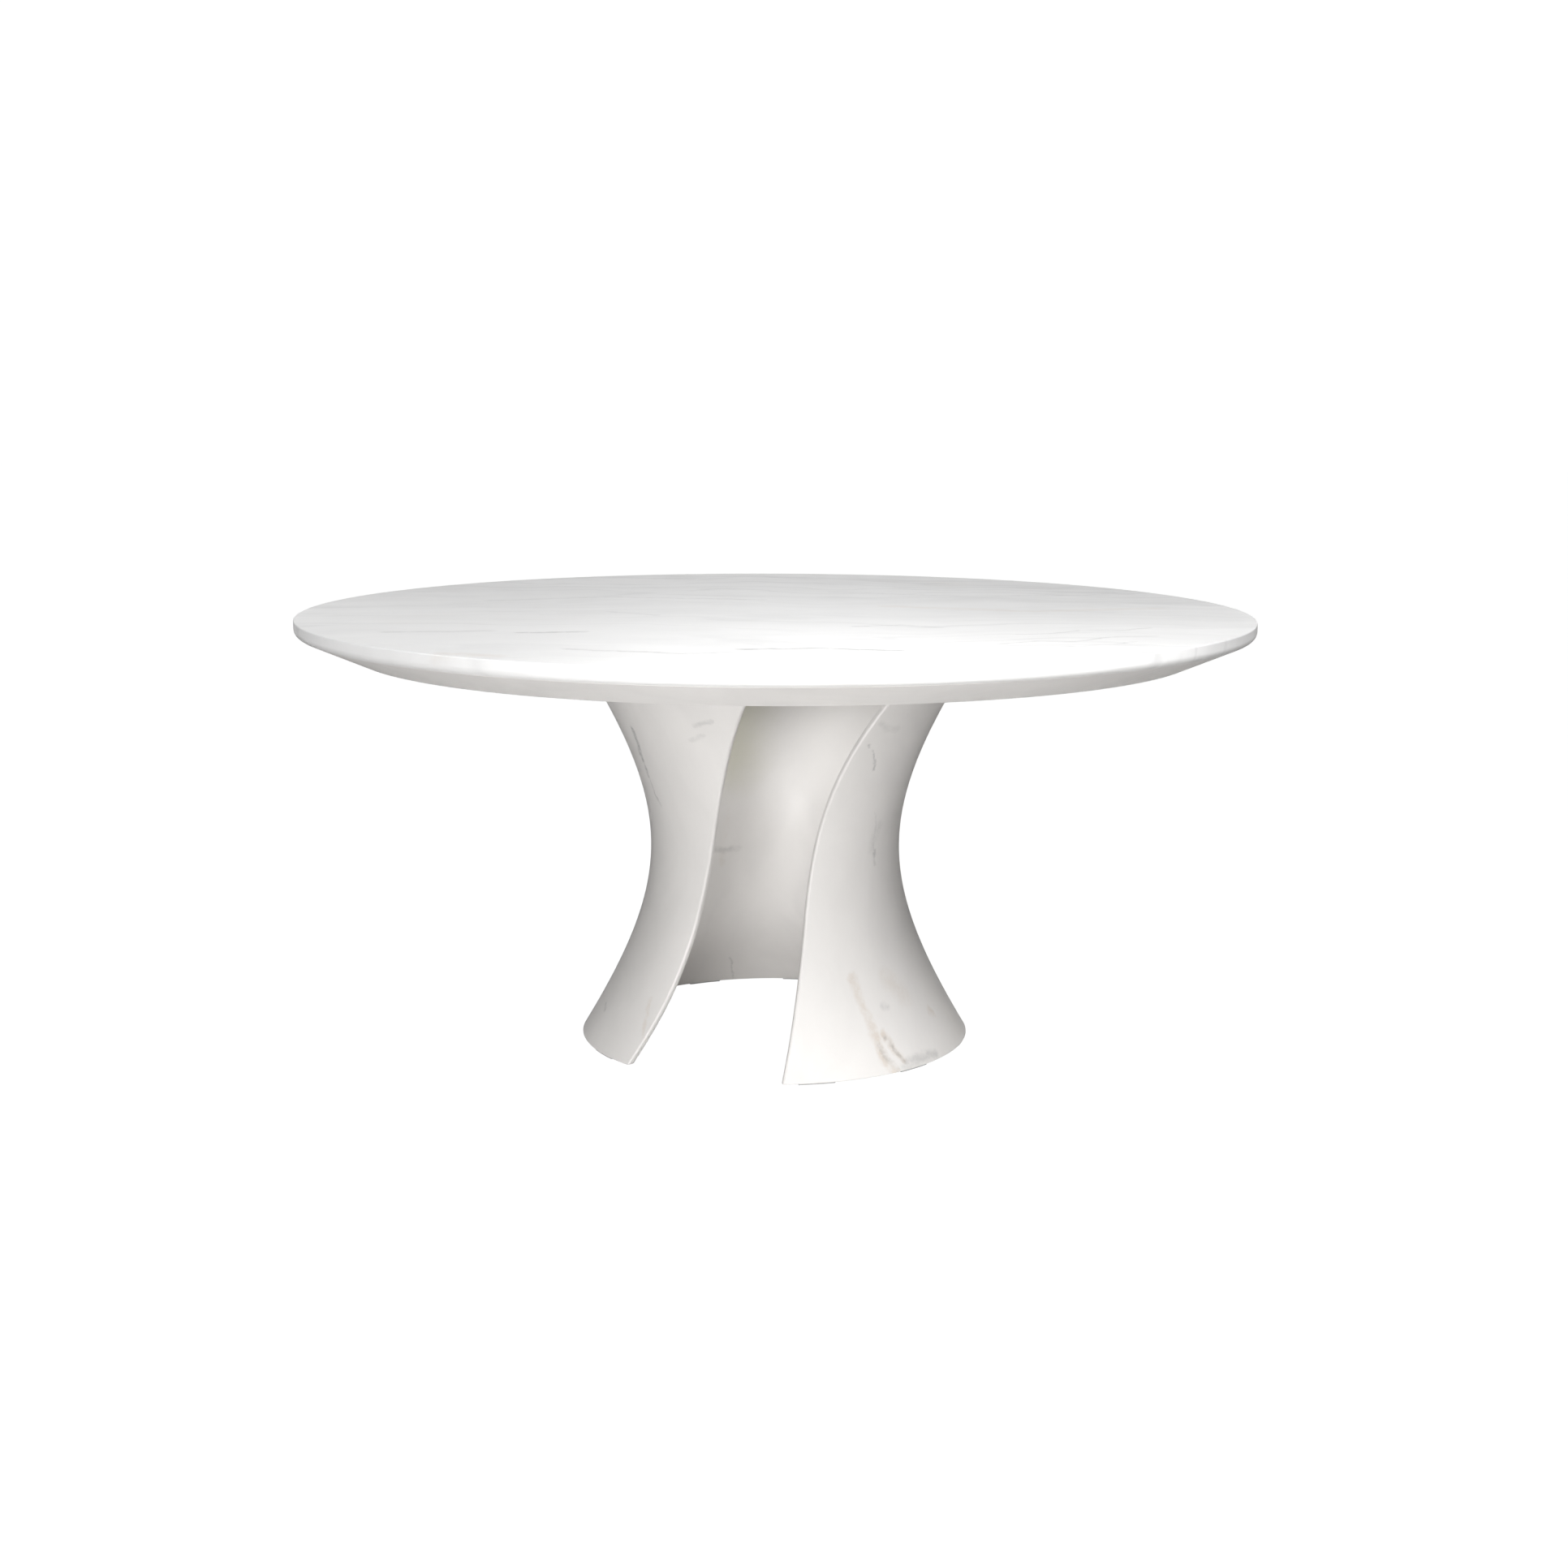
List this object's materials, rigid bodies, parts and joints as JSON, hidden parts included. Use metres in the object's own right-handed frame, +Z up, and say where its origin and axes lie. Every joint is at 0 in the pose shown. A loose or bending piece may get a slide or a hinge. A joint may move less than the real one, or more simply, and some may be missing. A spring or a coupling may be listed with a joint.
{
  "type": "round pedestal table",
  "caption": "Round dining table: a bevelled white marble top on a waisted hollow shell pedestal with a slanted slot at the front.",
  "frame": {"origin": "on the floor under the middle of the round top", "axes": "+Z up; -Y towards the front, where the pedestal's slot opens; +X to the right seen from the front"},
  "size_m": [1.5999, 1.5999, 0.73],
  "materials": {
    "marble": "honed white marble with fine grey and beige veins",
    "marble_shell": "honed white marble with fine grey and beige veins",
    "plywood": "birch plywood",
    "laminate": "matt white laminate",
    "coated_steel": "white powder coat",
    "zinc_steel": "bright zinc",
    "brass": "turned",
    "glide": "translucent grey, matt"
  },
  "bodies": {
    "root": {"top_slab": "marble", "bevel_ring": "marble", "core_disc": "plywood", "backing_sheet": "laminate", "core_inserts": "zinc_steel", "mount_ring": "coated_steel", "flange_washers": "zinc_steel", "flange_screws": "zinc_steel", "collar_band": "coated_steel", "collar_screws": "zinc_steel", "shell_inserts": "brass", "base_shell": "marble_shell", "floor_pads": "glide"}
  },
  "joints": []
}
